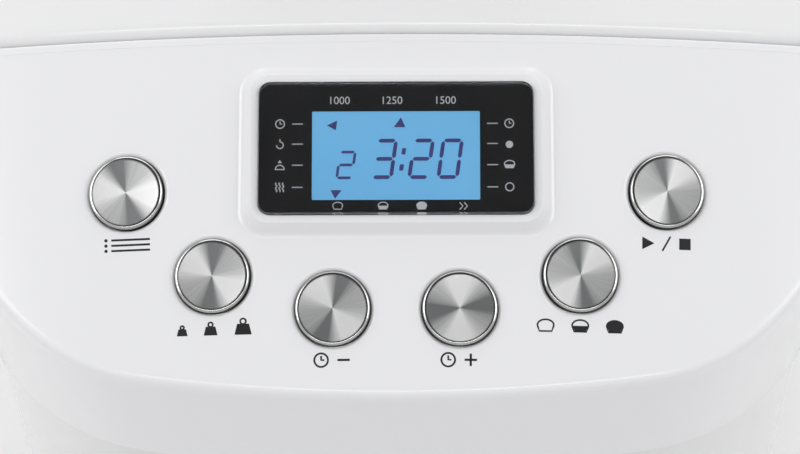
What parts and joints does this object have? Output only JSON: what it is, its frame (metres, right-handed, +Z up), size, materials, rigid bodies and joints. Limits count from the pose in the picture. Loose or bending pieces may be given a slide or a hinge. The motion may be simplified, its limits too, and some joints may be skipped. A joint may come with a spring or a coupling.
{
  "type": "bread machine",
  "caption": "Free-standing two-paddle bread machine: bowed white housing, sloping panel with display and metal buttons, hinged lid, lift-out pan and belt drive.",
  "frame": {"origin": "on the table under the middle of the body, at the underside of the feet", "axes": "+Z up, the control panel faces -Y, +X to the right of a user who faces the panel"},
  "size_m": [0.27, 0.388, 0.31],
  "materials": {
    "lower_abs": "injection moulded ABS, glossy white",
    "white_abs": "injection moulded ABS, high gloss, slightly cool white",
    "base_plastic": "moulded polypropylene, fine texture",
    "rubber": "moulded rubber, matt",
    "steel": "zinc plated steel",
    "clear_acrylic": "polished clear acrylic over a black printed back",
    "lcd": "backlit liquid crystal cell, blue",
    "light_guide": "clear edge-lit light guide",
    "circuit_board": "glass-epoxy laminate with green solder mask",
    "electronic_parts": "moulded epoxy component cases",
    "spun_aluminium": "spun face with fine circular turning marks and a polished rim",
    "lid_abs": "injection moulded ABS, high gloss, slightly cool white",
    "liner_aluminium": "pressed aluminium sheet, satin",
    "glass": "toughened flat glass",
    "silicone": "heat resistant silicone",
    "grip_plastic": "moulded ABS, silver grey",
    "coated_sheet": "steel sheet with dark non-stick coating",
    "heater_metal": "oxidised stainless steel sheath",
    "ceramic": "unglazed steatite ceramic",
    "cast_aluminium": "die cast aluminium, as cast",
    "bronze": "sintered bronze bushing",
    "polished_steel": "polished stainless steel wire",
    "pulley_plastic": "glass filled nylon",
    "belt_rubber": "ribbed rubber belt",
    "cable_jacket": "PVC flat ribbon cable"
  },
  "bodies": {
    "root": {"lower_housing": "lower_abs", "upper_housing": "white_abs", "base_plate": "base_plastic", "rubber_feet": "rubber", "housing_screws": "steel", "display_window": "clear_acrylic", "lcd_module": "lcd", "lcd_backlight": "light_guide", "control_board": "circuit_board", "board_components": "electronic_parts", "tact_switches": "electronic_parts", "control_board_screws": "steel", "hinge_pins": "steel", "baking_chamber": "coated_sheet", "chamber_legs": "steel", "heating_element": "heater_metal", "heater_insulators": "ceramic", "temperature_sensor": "steel", "heat_shield": "liner_aluminium", "pan_socket": "cast_aluminium", "pan_clips": "steel", "drive_frame": "cast_aluminium", "drive_bearings": "bronze", "drive_belt": "belt_rubber", "link_belt": "belt_rubber", "motor_body": "steel", "motor_mounts": "rubber", "capacitor": "grip_plastic", "power_board": "circuit_board", "power_components": "electronic_parts", "thermal_fuse": "ceramic", "ribbon_cable": "cable_jacket", "cable_gland": "electronic_parts"},
    "lid": {"lid_shell": "lid_abs", "lid_liner": "liner_aluminium", "lid_window": "glass", "window_gasket": "silicone", "lid_handle": "grip_plastic", "lid_screws": "steel"},
    "bread_pan_body": {"bread_pan": "coated_sheet", "pan_base_ring": "cast_aluminium", "pan_shaft_seals": "bronze", "handle_pivots": "steel"},
    "handle": {"pan_handle": "polished_steel"},
    "front_paddle_body": {"front_paddle": "coated_sheet", "front_pan_shaft": "steel"},
    "rear_paddle_body": {"rear_paddle": "coated_sheet", "rear_pan_shaft": "steel"},
    "front_drive": {"front_drive_shaft": "steel", "front_pulley": "pulley_plastic"},
    "rear_drive": {"rear_drive_shaft": "steel", "rear_pulley": "pulley_plastic"},
    "rotor": {"motor_rotor": "steel"},
    "menu_key": {"menu_button": "spun_aluminium"},
    "weight_key": {"weight_button": "spun_aluminium"},
    "time_minus_key": {"time_minus_button": "spun_aluminium"},
    "time_plus_key": {"time_plus_button": "spun_aluminium"},
    "browning_key": {"browning_button": "spun_aluminium"},
    "start_stop_key": {"start_stop_button": "spun_aluminium"}
  },
  "joints": [
    {"name": "lid_hinge", "type": "hinge", "parent": "root", "child": "lid", "pos_m": [0, 0.172, 0.26916], "axis": [-1, 0, 0], "range_deg": [0, 85]},
    {"name": "pan_lift", "type": "slide", "parent": "root", "child": "bread_pan_body", "axis": [0, 0, 1], "range_m": [0, 0.05]},
    {"name": "pan_handle_swing", "type": "hinge", "parent": "bread_pan_body", "child": "handle", "pos_m": [0, 0.05, 0.188], "axis": [0, -1, 0], "range_deg": [0, 90]},
    {"name": "front_drive_spin", "type": "hinge", "parent": "root", "child": "front_drive", "pos_m": [0, 0.005, 0.022], "axis": [0, 0, 1], "continuous": true},
    {"name": "rear_drive_spin", "type": "hinge", "parent": "root", "child": "rear_drive", "pos_m": [0, 0.095, 0.022], "axis": [0, 0, 1], "continuous": true},
    {"name": "motor_spin", "type": "hinge", "parent": "root", "child": "rotor", "pos_m": [0, -0.128, 0.022], "axis": [0, 0, 1], "continuous": true},
    {"name": "front_paddle_spin", "type": "hinge", "parent": "bread_pan_body", "child": "front_paddle_body", "pos_m": [0, 0.005, 0.072], "axis": [0, 0, 1], "continuous": true},
    {"name": "rear_paddle_spin", "type": "hinge", "parent": "bread_pan_body", "child": "rear_paddle_body", "pos_m": [0, 0.095, 0.072], "axis": [0, 0, 1], "continuous": true},
    {"name": "menu_press", "type": "slide", "parent": "root", "child": "menu_key", "axis": [0.0689, 0.3746, -0.9246], "range_m": [0, 0.001], "stiffness_N_per_m": 1500, "springref_m": -0.0005},
    {"name": "weight_press", "type": "slide", "parent": "root", "child": "weight_key", "axis": [0.0469, 0.3746, -0.926], "range_m": [0, 0.001], "stiffness_N_per_m": 1500, "springref_m": -0.0005},
    {"name": "time_minus_press", "type": "slide", "parent": "root", "child": "time_minus_key", "axis": [0.0162, 0.3746, -0.927], "range_m": [0, 0.001], "stiffness_N_per_m": 1500, "springref_m": -0.0005},
    {"name": "time_plus_press", "type": "slide", "parent": "root", "child": "time_plus_key", "axis": [-0.0162, 0.3746, -0.927], "range_m": [0, 0.001], "stiffness_N_per_m": 1500, "springref_m": -0.0005},
    {"name": "browning_press", "type": "slide", "parent": "root", "child": "browning_key", "axis": [-0.0469, 0.3746, -0.926], "range_m": [0, 0.001], "stiffness_N_per_m": 1500, "springref_m": -0.0005},
    {"name": "start_stop_press", "type": "slide", "parent": "root", "child": "start_stop_key", "axis": [-0.0689, 0.3746, -0.9246], "range_m": [0, 0.001], "stiffness_N_per_m": 1500, "springref_m": -0.0005}
  ],
  "couplings": [
    {"joint": "rear_drive_spin", "follows": "front_drive_spin", "ratio": 1},
    {"joint": "motor_spin", "follows": "front_drive_spin", "ratio": 4.2},
    {"joint": "front_paddle_spin", "follows": "front_drive_spin", "ratio": 1},
    {"joint": "rear_paddle_spin", "follows": "front_drive_spin", "ratio": 1}
  ]
}
